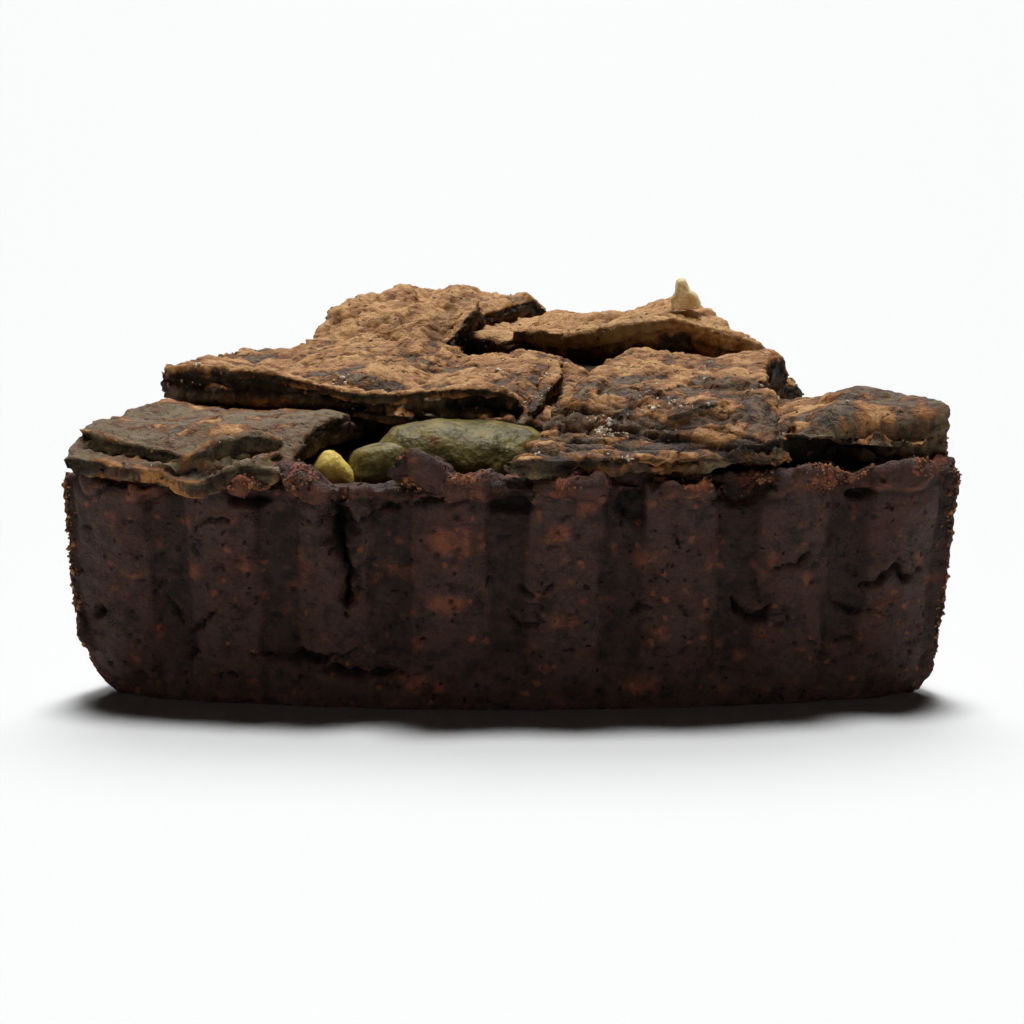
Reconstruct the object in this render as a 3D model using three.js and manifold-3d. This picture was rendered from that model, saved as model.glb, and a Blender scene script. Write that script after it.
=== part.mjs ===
// One slice of a round chocolate lattice tart filled with pears, seen from its fluted rim.
// Millimetres, +Z up. The slice stands on z = 0, its rim faces -Y and its tip points to +Y.
// Plan positions are (x, depth): depth is measured from the rim's nearest point towards the tip.
import * as THREE from "three";
import { mergeVertices } from "three/addons/utils/BufferGeometryUtils.js";
import Module from "manifold-3d";

const wasm = await Module();
wasm.setup();

// ---- the tart and the slice ----
const TART_RADIUS = 130;
const SLICES_PER_TART = 8;
const HALF_ANGLE = Math.PI / SLICES_PER_TART;
const BASE_RADIUS = 125.4;
const TIP_RADIUS = 1.6;
const RIM_HEIGHT = 26.4;
const WALL_THICKNESS = 7.5;
const BASE_THICKNESS = 5.5;
const CLEARANCE = 0.35;

// ---- the flutes pressed by the tin ----
const FLUTES_PER_TART = 64;
const FLUTE_DEPTH = 1.3;
const FIRST_CREST = THREE.MathUtils.degToRad(2.6);
const STEPS_PER_FLUTE = 9;

// ---- the lattice ----
const LATTICE_TURN = THREE.MathUtils.degToRad(20);
const STRIP_WIDTH = 25;
const STRIP_PITCH = 48.3;
const STRIP_THICKNESS = 3.4;
const PRESSED_THICKNESS = 2.8;
const LEFT_STRIP_CENTRE = -36.5;
const FRONT_STRIP_CENTRE = 30;
const RIGHT_STRIP_CENTRE = LEFT_STRIP_CENTRE + STRIP_PITCH;
const BACK_STRIP_CENTRE = FRONT_STRIP_CENTRE + STRIP_PITCH;
const STATION_STEP = 3;

// ---- where the stalk end lies on the back strip ----
const STALK_END = { x: 21.4, depth: 68, z: 37.4 };

// ---- the hollow in the filling below the lattice's front window ----
const HOLLOW = { x: -8, depth: 12, halfWidth: 15, halfDepth: 9, drop: 9 };

const { smoothstep, lerp } = THREE.MathUtils;
const bell = (x, centre, spread) => Math.exp(-(((x - centre) / spread) ** 2));

// A rise from 0 to 1 between a - ramp and a, level to b, and a fall back to 0 by b + ramp.
const plateau = (x, a, b, ramp) => smoothstep(x, a - ramp, a) * (1 - smoothstep(x, b, b + ramp));

// ---- plan coordinates ----
const SLICE_DEPTH = TART_RADIUS - TIP_RADIUS;
const worldY = (depth) => depth - SLICE_DEPTH / 2;
const depthAt = (y) => y + SLICE_DEPTH / 2;
const radiusOf = (x, depth) => Math.hypot(x, TART_RADIUS - depth);
const angleOf = (x, depth) => Math.atan2(x, TART_RADIUS - depth);
const polar = (radius, angle, z) =>
  new THREE.Vector3(radius * Math.sin(angle), worldY(TART_RADIUS - radius * Math.cos(angle)), z);

// The lattice is turned to the slice: "back" runs nearly along the left cut, "across" square to it.
const fromLattice = (back, across) => ({
  x: back * Math.sin(LATTICE_TURN) + across * Math.cos(LATTICE_TURN),
  depth: back * Math.cos(LATTICE_TURN) - across * Math.sin(LATTICE_TURN),
});

// The rim's bare stretch in front of the lattice's window, and the folded lip on it.
const WINDOW = { left: THREE.MathUtils.degToRad(-9.5), right: THREE.MathUtils.degToRad(-1.5) };
const LIP_ANGLE = THREE.MathUtils.degToRad(-4);

const flutePhase = (angle) => ((angle - FIRST_CREST) * FLUTES_PER_TART) / (2 * Math.PI);
const flute = (angle) => 0.5 * FLUTE_DEPTH * Math.cos(2 * Math.PI * flutePhase(angle));

// How far a place has come out of the tart towards the rim's outer edge: 0 inside the wall, 1 outside.
const nearRim = (x, depth) => smoothstep(radiusOf(x, depth), 121, TART_RADIUS);

// The surface that the lattice lies on: low at the rim, heaped over the pears behind it.
function support(x, depth) {
  const heap = 4.1 * smoothstep(depth, 3, 70) - 4.6 * smoothstep(depth, 97, 130);
  const leftDip = 2.4 * bell(x, -28, 16) * bell(depth, 47, 20);
  const rightDip = 2.8 * bell(x, 29, 11) * bell(depth, 54, 17);
  const backRise = 1.5 * bell(x, 18, 7) * bell(depth, 75, 10);
  const rimFall = (0.9 * smoothstep(-x, 12, 22) - 0.5 * bell(x, 19, 13)) * nearRim(x, depth);
  return RIM_HEIGHT + CLEARANCE + heap - leftDip - rightDip + backRise - rimFall;
}

// The rim stays just under the strips. Between them it is lower, and folded up to a lip at one place.
function rimTop(angle) {
  const at = polar(TART_RADIUS, angle, 0);
  const bare = 0.8 * plateau(angle, WINDOW.left, WINDOW.right, 0.03);
  const wave = 0.3 * (1 - Math.cos(2 * Math.PI * flutePhase(angle)));
  const lip = 2.6 * bell(angle, LIP_ANGLE, 0.022);
  return support(at.x, depthAt(at.y)) - CLEARANCE - bare - wave + lip;
}

function fillingTop(x, depth) {
  const across = (x - HOLLOW.x) / HOLLOW.halfWidth;
  const along = (depth - HOLLOW.depth) / HOLLOW.halfDepth;
  const dip = HOLLOW.drop * (1 - smoothstep(Math.hypot(across, along), 0.55, 1.1));
  return support(x, depth) - CLEARANCE - dip;
}

// ---- solids ----

// Skins closed rings of points into a tube and caps both ends with the triangles of capShape.
function skin(rings, capShape) {
  const around = rings[0].length;
  const positions = rings.flat().flatMap((p) => [p.x, p.y, p.z]);
  const faces = [];
  for (let i = 0; i + 1 < rings.length; i++) {
    for (let j = 0; j < around; j++) {
      const next = (j + 1) % around;
      const [a, b, c, d] = [i * around + j, i * around + next, (i + 1) * around + j, (i + 1) * around + next];
      faces.push(a, c, b, b, c, d);
    }
  }
  const last = (rings.length - 1) * around;
  for (const [a, b, c] of THREE.ShapeUtils.triangulateShape(capShape, [])) {
    faces.push(a, b, c, last + a, last + c, last + b);
  }
  const geometry = new THREE.BufferGeometry();
  geometry.setAttribute("position", new THREE.Float32BufferAttribute(positions, 3));
  geometry.setIndex(faces);
  return geometry;
}

function toSolid(geometry) {
  const bare = geometry.clone();
  bare.deleteAttribute("normal");
  bare.deleteAttribute("uv");
  const merged = mergeVertices(bare, 1e-4);
  const vertProperties = merged.attributes.position.array;
  const solid = (triVerts) => new wasm.Manifold(new wasm.Mesh({ numProp: 3, vertProperties, triVerts }));
  const made = solid(new Uint32Array(merged.index.array));
  if (made.volume() > 0) return made;
  return solid(new Uint32Array(merged.index.array).reverse());
}

function toGeometry(solid) {
  const { vertProperties, triVerts, numProp } = solid.getMesh();
  if (numProp !== 3) throw new Error("a solid carries more than its positions");
  const geometry = new THREE.BufferGeometry();
  geometry.setAttribute("position", new THREE.BufferAttribute(new Float32Array(vertProperties), 3));
  geometry.setIndex([...triVerts]);
  geometry.computeVertexNormals();
  return geometry;
}

// The upright prism over the slice's plan, out to a radius: what a knife and the rim leave of a layer.
function sector(radius) {
  const plan = new THREE.Shape();
  const corner = polar(TIP_RADIUS, -HALF_ANGLE, 0);
  plan.moveTo(corner.x, corner.y);
  for (const share of Array.from({ length: 41 }, (_, i) => i / 40)) {
    const p = polar(radius, lerp(-HALF_ANGLE, HALF_ANGLE, share), 0);
    plan.lineTo(p.x, p.y);
  }
  plan.lineTo(-corner.x, corner.y);
  plan.closePath();
  return toSolid(new THREE.ExtrudeGeometry(plan, { depth: 60, bevelEnabled: false, curveSegments: 1 }));
}

// ---- the crust: a base and a fluted wall in one piece ----
function crustProfile(angle) {
  const bulge = flute(angle);
  const top = rimTop(angle);
  const outer = (z) => lerp(BASE_RADIUS, TART_RADIUS, z / RIM_HEIGHT) + bulge * smoothstep(z, 0, 5);
  const inner = TART_RADIUS - WALL_THICKNESS;
  const wall = [5, 10, 15, 20].map((z) => [outer(z), z]);
  return [
    [TIP_RADIUS, 0],
    [outer(0) - 2.6, 0],
    [outer(0) - 0.9, 0.6],
    [outer(2.2), 2.2],
    ...wall,
    [outer(24), top - 1.8],
    [outer(25) - 0.5, top - 0.4],
    [outer(26) - 1.9, top],
    [inner + 1.2, top - 0.2],
    [inner, top - 1.2],
    [inner - 0.6, 12],
    [inner - 3.4, BASE_THICKNESS],
    [TIP_RADIUS, BASE_THICKNESS],
  ];
}

function crust() {
  const steps = Math.round((FLUTES_PER_TART / SLICES_PER_TART) * STEPS_PER_FLUTE);
  const angles = Array.from({ length: steps + 1 }, (_, i) => lerp(-HALF_ANGLE, HALF_ANGLE, i / steps));
  const rings = angles.map((angle) => crustProfile(angle).map(([radius, z]) => polar(radius, angle, z)));
  const capShape = crustProfile(0).map(([radius, z]) => new THREE.Vector2(radius, z));
  return toSolid(skin(rings, capShape));
}

// ---- the filling: one dark layer from cut to cut, up to the lattice ----
function filling() {
  const radialSteps = 24;
  const angularSteps = 16;
  const outer = TART_RADIUS - WALL_THICKNESS - 0.6 - CLEARANCE;
  const foot = BASE_THICKNESS + CLEARANCE;
  const rings = [];
  for (let i = 0; i <= angularSteps; i++) {
    const angle = lerp(-HALF_ANGLE, HALF_ANGLE, i / angularSteps);
    const top = [];
    for (let j = 0; j <= radialSteps; j++) {
      const radius = lerp(outer, TIP_RADIUS, j / radialSteps);
      const at = polar(radius, angle, 0);
      top.push(polar(radius, angle, fillingTop(at.x, depthAt(at.y))));
    }
    rings.push([polar(TIP_RADIUS, angle, foot), polar(outer - 3.2, angle, foot), polar(outer, angle, 12), ...top]);
  }
  const capShape = rings[0].map((p) => new THREE.Vector2(Math.hypot(p.x, worldY(TART_RADIUS) - p.y), p.z));
  return toSolid(skin(rings, capShape));
}

// ---- the lattice strips ----

// The section of a rolled strip: flat below, rounded at both edges, as shares of width and thickness.
const STRIP_SECTION = [
  [-0.46, 0], [-0.23, 0], [0, 0], [0.23, 0], [0.46, 0], [0.5, 0.42], [0.485, 0.82], [0.43, 1],
  [0.22, 1], [0, 1], [-0.22, 1], [-0.43, 1], [-0.485, 0.82], [-0.5, 0.42],
];

function strip({ back = false, from, to, centre, width, lift, thickness, reach }) {
  const count = Math.ceil((to - from) / STATION_STEP);
  const rings = [];
  for (let i = 0; i <= count; i++) {
    const along = lerp(from, to, i / count);
    rings.push(
      STRIP_SECTION.map(([wide, high]) => {
        const side = centre(along) + wide * width(along);
        const { x, depth } = back ? fromLattice(along, side) : fromLattice(side, along);
        const z = support(x, depth) + lift(along, wide) + high * thickness(along, wide, x, depth);
        return new THREE.Vector3(x, worldY(depth), z);
      }),
    );
  }
  const capShape = STRIP_SECTION.map(([wide, high]) => new THREE.Vector2(wide, high));
  return toSolid(skin(rings, capShape)).intersect(sector(reach));
}

const HALF_CROSSING = STRIP_WIDTH / 2 + 1;
const OVER = PRESSED_THICKNESS + CLEARANCE;

// 1 where a strip crosses another whose centre line is given, and 0 away from it.
const crossing = (s, centre, ramp) => plateau(s, centre - HALF_CROSSING, centre + HALF_CROSSING, ramp);

// Runs back along the left cut to the tip: under the front strip and over the back one.
// Its right edge draws in behind, and its end is pressed thin over the rim.
const leftStrip = () =>
  strip({
    back: true,
    from: -14,
    to: 128,
    reach: TART_RADIUS + 1.1,
    centre: (s) => LEFT_STRIP_CENTRE - 3.1 * smoothstep(s, 42, 74),
    width: (s) => STRIP_WIDTH - 6.2 * smoothstep(s, 42, 74),
    lift: (s, wide) => OVER * crossing(s, BACK_STRIP_CENTRE, 9) + 0.9 * bell(s, 8, 7) * smoothstep(wide, 0, 0.4),
    thickness: (s, wide, x, depth) => {
      const pressed = crossing(s, FRONT_STRIP_CENTRE, 5);
      const edge = 1.4 * pressed * smoothstep(wide, 0.2, 0.5) + 0.8 * bell(s, 4, 7) * smoothstep(-wide, 0, 0.4);
      return lerp(STRIP_THICKNESS, PRESSED_THICKNESS, pressed) - edge - 1.9 * nearRim(x, depth);
    },
  });

// Runs back right of the middle: over the front strip, under the back one. Its end is spread on the rim.
const rightStripCentre = (s) => RIGHT_STRIP_CENTRE + 2.2 - 5.9 * smoothstep(s, 8, 38);
const rightStripWidth = (s) => 29.8 - 10.8 * smoothstep(s, 6, 38);
const rightStripEdge = (s) => rightStripCentre(s) + rightStripWidth(s) / 2;

const rightStrip = () =>
  strip({
    back: true,
    from: -14,
    to: 90,
    reach: TART_RADIUS + 0.4,
    centre: rightStripCentre,
    width: rightStripWidth,
    lift: (s) => (OVER + 0.1) * crossing(s, FRONT_STRIP_CENTRE, 8),
    thickness: (s, wide, x, depth) =>
      lerp(STRIP_THICKNESS, PRESSED_THICKNESS, crossing(s, BACK_STRIP_CENTRE, 4)) +
      0.4 * bell(s, FRONT_STRIP_CENTRE, 9) -
      1.7 * nearRim(x, depth),
  });

// Runs across in front: over the left strip, under the right one, and ends as a thick block at the rim.
const frontStrip = () =>
  strip({
    from: -62,
    to: 52,
    reach: 125.4,
    centre: (s) => FRONT_STRIP_CENTRE - 0.8 * bell(s, -12, 12),
    width: () => STRIP_WIDTH,
    lift: (s) => {
      const overLeft = 1 - smoothstep(s, LEFT_STRIP_CENTRE + 11, LEFT_STRIP_CENTRE + 17);
      return OVER * overLeft + 2.3 * bell(s, -11.5, 11) * (1 - smoothstep(s, -8, -2.5));
    },
    thickness: (s, wide, x, depth) => {
      const block = smoothstep(s, rightStripEdge(FRONT_STRIP_CENTRE + wide * STRIP_WIDTH) + 0.6, 31);
      const under = crossing(s, RIGHT_STRIP_CENTRE, 5);
      const strand = lerp(STRIP_THICKNESS, PRESSED_THICKNESS, under);
      return lerp(strand, 33.3 + 0.8 * wide - support(x, depth), block);
    },
  });

// Runs across behind: under the left strip, over the right one.
const backStrip = () =>
  strip({
    from: -62,
    to: 34,
    reach: TART_RADIUS,
    centre: () => BACK_STRIP_CENTRE,
    width: () => STRIP_WIDTH,
    lift: (s) => (OVER + 0.1) * smoothstep(s, -14, -3),
    thickness: (s) => lerp(PRESSED_THICKNESS, STRIP_THICKNESS, smoothstep(s, LEFT_STRIP_CENTRE + 13, -14)),
  });

// ---- the pears: soft cut chunks, bedded in the filling and cut through at the two cut faces ----
const PEARS = {
  pear_window: { at: [-3.2, 16.4, 23.2], radii: [9.2, 7.6, 5.3], turn: 0.05 },
  pear_window_side: { at: [-14.6, 12.9, 23.4], radii: [2.4, 3.6, 5.2], turn: 0.1 },
  pear_nugget: { at: [-19.9, 12.2, 24.2], radii: [2.1, 2.2, 2.5], turn: 0.2 },
  pear_behind: { at: [7.2, 54.8, 27.4], radii: [8.2, 7.6, 4.2], turn: -LATTICE_TURN },
  pear_cut_left_front: { at: [-40.8, 36, 17], radii: [7.5, 9.5, 6], turn: 0.5 },
  pear_cut_left_middle: { at: [-27, 66, 20.5], radii: [7, 9, 6.5], turn: 0.3 },
  pear_cut_left_tip: { at: [-15, 98, 17], radii: [5, 7.5, 5.5], turn: 0.4 },
  pear_cut_right_front: { at: [42, 30, 18], radii: [7, 9.5, 6.5], turn: -0.4 },
  pear_cut_right_middle: { at: [31, 58, 16], radii: [6.5, 8.5, 6], turn: -0.4 },
  pear_cut_right_tip: { at: [17, 91, 20], radii: [5.5, 8, 6], turn: -0.3 },
};
const CHUNKINESS = 0.8;
const POCKET_GAP = 0.3;

// A superellipsoid: a ball with flattened sides, like a chunk of soft fruit.
function chunk({ at, radii, turn }, grow = 0) {
  const ball = new THREE.SphereGeometry(1, 14, 9);
  const points = ball.attributes.position;
  const [rx, ry, rz] = radii.map((radius) => radius + grow);
  const soften = (share) => Math.sign(share) * Math.abs(share) ** CHUNKINESS;
  for (let i = 0; i < points.count; i++) {
    const p = new THREE.Vector3(soften(points.getX(i)) * rx, soften(points.getY(i)) * ry, soften(points.getZ(i)) * rz);
    p.applyAxisAngle(new THREE.Vector3(0, 0, 1), turn);
    points.setXYZ(i, p.x + at[0], p.y + worldY(at[1]), p.z + at[2]);
  }
  return toSolid(ball);
}

// The morsel of pear with its stalk end, lying on the back strip: a pointed wedge.
function stalkEnd() {
  const outline = [[-1.8, 0], [1.9, 0.1], [1.3, 1.5], [0.2, 2.3], [-0.5, 4], [-0.9, 3.7], [-1.2, 2.2], [-1.9, 1.1]];
  const face = new THREE.Shape(outline.map(([x, z]) => new THREE.Vector2(x, z)));
  const wedge = new THREE.ExtrudeGeometry(face, { depth: 2.2, bevelEnabled: false });
  wedge.rotateX(Math.PI / 2);
  wedge.translate(STALK_END.x, worldY(STALK_END.depth), STALK_END.z);
  return toSolid(wedge);
}

// ---- the parts by name ----
const CHOCOLATE_WALL = { color: 0x2b1b15, roughness: 0.62, metalness: 0 };
const CHOCOLATE_TOP = { color: 0x4a3022, roughness: 0.66, metalness: 0 };
const PEAR = { color: 0x9aa06a, roughness: 0.4, metalness: 0 };
const DARK_FILLING = { color: 0x1c120e, roughness: 0.5, metalness: 0 };

const material = (settings) => new THREE.MeshStandardMaterial(settings);

function part(name, solid, settings) {
  const mesh = new THREE.Mesh(toGeometry(solid), material(settings));
  mesh.name = name;
  return mesh;
}

const slice = new THREE.Group();
const lattice = new THREE.Group();
const pears = new THREE.Group();
const knife = sector(TART_RADIUS);

let bed = filling();
for (const [name, pear] of Object.entries(PEARS)) {
  pears.add(part(name, chunk(pear).intersect(knife), PEAR));
  bed = bed.subtract(chunk(pear, POCKET_GAP));
}
pears.add(part("pear_stalk_end", stalkEnd(), PEAR));
lattice.add(
  part("strip_left", leftStrip(), CHOCOLATE_TOP),
  part("strip_right", rightStrip(), CHOCOLATE_TOP),
  part("strip_front", frontStrip(), CHOCOLATE_TOP),
  part("strip_back", backStrip(), CHOCOLATE_TOP),
);
slice.add(part("crust", crust(), CHOCOLATE_WALL), part("filling", bed, DARK_FILLING), lattice, pears);

export default slice;
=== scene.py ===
"""One slice of a chocolate lattice tart with pears, on a white table under soft lit panels.

Metres, +Z up. The fluted rim faces -Y and the tip points to +Y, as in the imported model.
"""

import math
from functools import partial

import bmesh
import bpy
import numpy as np
from mathutils import Euler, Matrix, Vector
from mathutils.bvhtree import BVHTree


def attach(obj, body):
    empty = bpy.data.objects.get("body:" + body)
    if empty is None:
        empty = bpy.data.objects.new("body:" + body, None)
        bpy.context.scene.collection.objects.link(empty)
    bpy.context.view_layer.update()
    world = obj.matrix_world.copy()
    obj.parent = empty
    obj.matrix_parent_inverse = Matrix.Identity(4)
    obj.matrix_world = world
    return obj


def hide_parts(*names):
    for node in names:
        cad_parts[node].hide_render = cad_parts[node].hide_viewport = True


MM = 0.001
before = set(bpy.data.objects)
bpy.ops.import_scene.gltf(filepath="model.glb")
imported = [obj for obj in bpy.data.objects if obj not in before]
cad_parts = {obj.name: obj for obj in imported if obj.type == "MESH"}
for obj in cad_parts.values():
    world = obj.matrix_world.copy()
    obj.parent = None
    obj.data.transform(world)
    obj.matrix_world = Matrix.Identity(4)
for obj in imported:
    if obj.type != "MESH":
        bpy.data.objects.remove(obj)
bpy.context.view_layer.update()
scene = bpy.context.scene
tops = {}

# ---- the tart's real sizes, in mm, and its turns ----
TART_RADIUS = 130.0
BASE_RADIUS = 125.4
HALF_DEPTH = 64.2
RIM_HEIGHT = 26.4
FLUTES_PER_TART = 64
FIRST_CREST = math.radians(2.6)
LATTICE_TURN = math.radians(20.0)
HALF_ANGLE = math.pi / 8
STRIP_WIDTH = 25.0
# The strips' middle lines: two of them across the slice, and two back from its front.
LEFT_MIDDLE, RIGHT_MIDDLE = -36.5, 11.0
FRONT_MIDDLE, BACK_MIDDLE = 30.0, 78.3


# ---- small maths on arrays of points, in mm ----
def step(x, low, high):
    """A soft step from 0 at low to 1 at high."""
    t = np.clip((x - low) / (high - low), 0.0, 1.0)
    return t * t * (3.0 - 2.0 * t)


def fall(x, low, high):
    """A soft step from 1 at low to 0 at high."""
    return 1.0 - step(x, low, high)


def bell(x, centre, spread):
    """A soft bump of height 1 around centre."""
    return np.exp(-(((x - centre) / spread) ** 2))


def random_of(cell, seed):
    """A number from 0 to 1 for each whole-number cell, the same on every run."""
    n = cell[..., 0] * 73856093 ^ cell[..., 1] * 19349663 ^ cell[..., 2] * 83492791
    n = (n ^ (seed * 2654435761)) & 0xFFFFFFFF
    n = ((n ^ (n >> 15)) * 2246822519) & 0xFFFFFFFF
    n = ((n ^ (n >> 13)) * 3266489917) & 0xFFFFFFFF
    return ((n ^ (n >> 16)) & 0xFFFFFF) / float(0xFFFFFF)


CORNERS = np.array([(i, j, k) for i in (0, 1) for j in (0, 1) for k in (0, 1)])
NEIGHBOURS = np.array([(i, j, k) for i in (-1, 0, 1) for j in (-1, 0, 1) for k in (-1, 0, 1)])


def lumps(points, size, seed):
    """Smooth noise from -1 to 1 whose lumps are about size mm across."""
    p = points / size
    cell = np.floor(p).astype(np.int64)
    f = p - cell
    fade = f * f * f * (f * (f * 6.0 - 15.0) + 10.0)
    total = np.zeros(len(points))
    for corner in CORNERS:
        at = cell + corner
        gradient = np.stack([random_of(at, seed + axis) * 2.0 - 1.0 for axis in (1, 2, 3)], axis=1)
        reach = ((f - corner) * gradient).sum(axis=1)
        total += reach * np.prod(np.where(corner == 1, fade, 1.0 - fade), axis=1)
    return total * 1.6


def layered(points, size, seed, layers=3, gain=0.5):
    """Noise of several sizes, each half as large as the last."""
    return sum(gain**i * lumps(points, size / 2.0**i, seed + 11 * i) for i in range(layers))


def wander(points, amount, size, seed, ways=3):
    """A small smooth drift in mm for each point, in so many ways."""
    return np.stack([amount * layered(points, size, seed + i, 2) for i in range(ways)], axis=1)


def grains(points, size, seed):
    """Distance to the nearest grain's middle, as a share of size, and that grain's random number."""
    p = points / size
    cell = np.floor(p).astype(np.int64)
    nearest = np.full(len(points), 9.0)
    chosen = np.zeros(len(points))
    for offset in NEIGHBOURS:
        at = cell + offset
        middle = at + np.stack([random_of(at, seed + axis) for axis in (1, 2, 3)], axis=1)
        distance = np.linalg.norm(p - middle, axis=1)
        closer = distance < nearest
        nearest = np.where(closer, distance, nearest)
        chosen = np.where(closer, random_of(at, seed + 7), chosen)
    return nearest, chosen


def paced(corners):
    """The lengths between a path's corners, and how far along the path each corner is."""
    lengths = np.linalg.norm(np.diff(corners, axis=0), axis=1)
    return lengths, np.concatenate([[0.0], np.cumsum(lengths)])


def from_line(points, line):
    """For each point: its distance to a drawn line, and how far along the line that is, from 0 to 1."""
    corners = np.array(line, float)
    lengths, starts = paced(corners)
    nearest = np.full(len(points), 1e9)
    share = np.zeros(len(points))
    for i, length in enumerate(lengths):
        way = (corners[i + 1] - corners[i]) / length
        t = np.clip((points - corners[i]) @ way, 0.0, length)
        distance = np.linalg.norm(points - corners[i] - t[:, None] * way, axis=1)
        closer = distance < nearest
        nearest = np.where(closer, distance, nearest)
        share = np.where(closer, (starts[i] + t) / starts[-1], share)
    return nearest, share


# ---- fine surfaces over the imported solids ----
# The first mark is painted shade: it darkens the colour towards black in cracks, dents, grooves, hollows,
# gaps and on torn sides.
MARKS = ("painted_shade", "browned", "reddish", "relief")


class Skin:
    """The points of a fine surface in mm, with the positions that a baker would measure on the slice."""

    def __init__(self, piece):
        self.piece = piece
        mesh = piece.data
        count = len(mesh.vertices)
        self.co, self.normal = np.empty((2, count, 3))
        mesh.vertices.foreach_get("co", self.co.ravel())
        mesh.vertices.foreach_get("normal", self.normal.ravel())
        self.co /= MM
        self.upward = self.normal[:, 2]
        # how much each point is torn, on the upper side, off the underside, and on the underside
        self.torn = self.sides()
        self.up = step(self.upward, 0.3, 0.7)
        self.over = step(self.upward, -0.5, 0.1)
        self.under = step(-self.upward, 0.2, 0.6)
        self.x, self.depth, self.z = self.co[:, 0], self.co[:, 1] + HALF_DEPTH, self.co[:, 2]
        # places on the round tart, along and across the turned lattice, and from the nearer cut
        to_tip = TART_RADIUS - self.depth
        self.radius = np.hypot(self.x, to_tip)
        self.angle = np.arctan2(self.x, to_tip)
        self.arc = self.angle * TART_RADIUS
        self.back = self.x * math.sin(LATTICE_TURN) + self.depth * math.cos(LATTICE_TURN)
        self.across = self.x * math.cos(LATTICE_TURN) - self.depth * math.sin(LATTICE_TURN)
        self.cut = self.radius * np.sin(HALF_ANGLE - np.abs(self.angle))
        self.push = np.zeros_like(self.co)
        self.aside, self.rise = self.push[:, 0], self.push[:, 2]
        for name in MARKS:
            setattr(self, name, np.zeros(count))

    def along_normal(self, amount):
        self.push += self.normal * amount[:, None]

    def sides(self, low=0.45, high=0.8):
        """How far each point is on a side that stands upright, where the dough is torn."""
        return step(1.0 - np.abs(self.upward), low, high)

    # paints shade: the colour is darkened towards black
    def paint_shade(self, amount):
        self.painted_shade = np.maximum(self.painted_shade, amount)

    def redden(self, amount):
        self.reddish = np.maximum(self.reddish, amount)

    def dent(self, where, deep, dark):
        """Presses dents in, up to deep mm, with painted shade in them; where is 1 at their middles and 0
        outside them.
        """
        self.along_normal(-deep * where)
        self.paint_shade(dark * where)

    def groove(self, distance, width, deep, dark=1.0):
        """Presses a groove in, given each point's distance to its line, and paints shade along it."""
        inside = np.exp(-((distance / (0.6 * width)) ** 2))
        self.along_normal(-deep * inside)
        self.paint_shade(dark * fall(distance, 0.3 * width, 0.65 * width))

    def write(self):
        """Moves the points, and keeps the marks on them for the material to read."""
        mesh = self.piece.data
        moved = (self.co + self.push) * MM
        mesh.vertices.foreach_set("co", moved.astype(np.float32).ravel())
        for name in MARKS:
            mark = mesh.attributes.new(name, "FLOAT", "POINT")
            mark.data.foreach_set("value", np.clip(getattr(self, name), -1.0, 1.0).astype(np.float32))
        mesh.update()


FOLD_SIDES = 10
FOLD_STEP = 0.6


def add_fold(bm, path, wide, thick, lean=0.0):
    """Adds a rounded fold of dough along (x, depth, z) points in mm. It leans by lean degrees."""
    corners = np.array(path, float) - (0.0, HALF_DEPTH, 0.0)
    starts = paced(corners)[1]
    count = max(5, int(starts[-1] / FOLD_STEP))
    at = np.linspace(0.0, starts[-1], count)
    middle = np.stack([np.interp(at, starts, corners[:, i]) for i in range(3)], axis=1)
    for _ in range(3):
        middle[1:-1] = 0.25 * middle[:-2] + 0.5 * middle[1:-1] + 0.25 * middle[2:]
    way = np.gradient(middle, axis=0)
    side = np.cross(way, (0.01, 0.0, 1.0))
    side /= np.linalg.norm(side, axis=1)[:, None]
    up = np.cross(side, way)
    up /= np.linalg.norm(up, axis=1)[:, None]
    along, aside = math.cos(math.radians(lean)), math.sin(math.radians(lean))
    broad = side * along + up * aside
    flat = up * along - side * aside
    taper = np.sin(np.pi * np.linspace(0.04, 0.96, count))[:, None] ** 0.35
    rings = []
    for turn in np.arange(FOLD_SIDES) * 2.0 * math.pi / FOLD_SIDES:
        reach = 0.5 * wide * math.cos(turn) * broad + 0.5 * thick * math.sin(turn) * flat
        rings.append(middle + taper * reach)
    rows = [[bm.verts.new(ring[i] * MM) for ring in rings] for i in range(count)]
    for low, high in zip(rows, rows[1:]):
        for i in range(FOLD_SIDES):
            following = (i + 1) % FOLD_SIDES
            bm.faces.new((low[i], low[following], high[following], high[i]))
    bm.faces.new(rows[0][::-1])
    bm.faces.new(rows[-1])


def on_top(node, path):
    """A path of (x, depth, rise) points laid on a node's upper side, rise mm above it."""
    if node not in tops:
        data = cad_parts[node].data
        faces = [face.vertices for face in data.polygons]
        tops[node] = BVHTree.FromPolygons([v.co for v in data.vertices], faces)
    laid = []
    for x, depth, rise in path:
        above = Vector((x, depth - HALF_DEPTH, 100.0)) * MM
        hit = tops[node].ray_cast(above, Vector((0.0, 0.0, -1.0)))[0] or tops[node].find_nearest(above)[0]
        laid.append((x, depth, hit.z / MM + rise))
    return laid


def place(name, data):
    """Puts a mesh or a camera into the scene."""
    item = bpy.data.objects.new(name, data)
    scene.collection.objects.link(item)
    return item


def fine_skin(name, node, voxel, smoothing, folds=()):
    """An even, fine skin over a node's solid with its folds fused on, standing for the solid."""
    bm = bmesh.new()
    bm.from_mesh(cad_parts[node].data)
    for fold in folds:
        add_fold(bm, *fold)
    mesh = bpy.data.meshes.new(name)
    bm.to_mesh(mesh)
    bm.free()
    piece = place(name, mesh)
    even = piece.modifiers.new("even", "REMESH")
    even.mode = "VOXEL"
    even.voxel_size = voxel * MM
    soft = piece.modifiers.new("soft", "SMOOTH")
    soft.factor = 0.5
    soft.iterations = smoothing
    keep_result(piece)
    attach(piece, "root")
    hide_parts(node)
    return Skin(piece)


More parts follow.
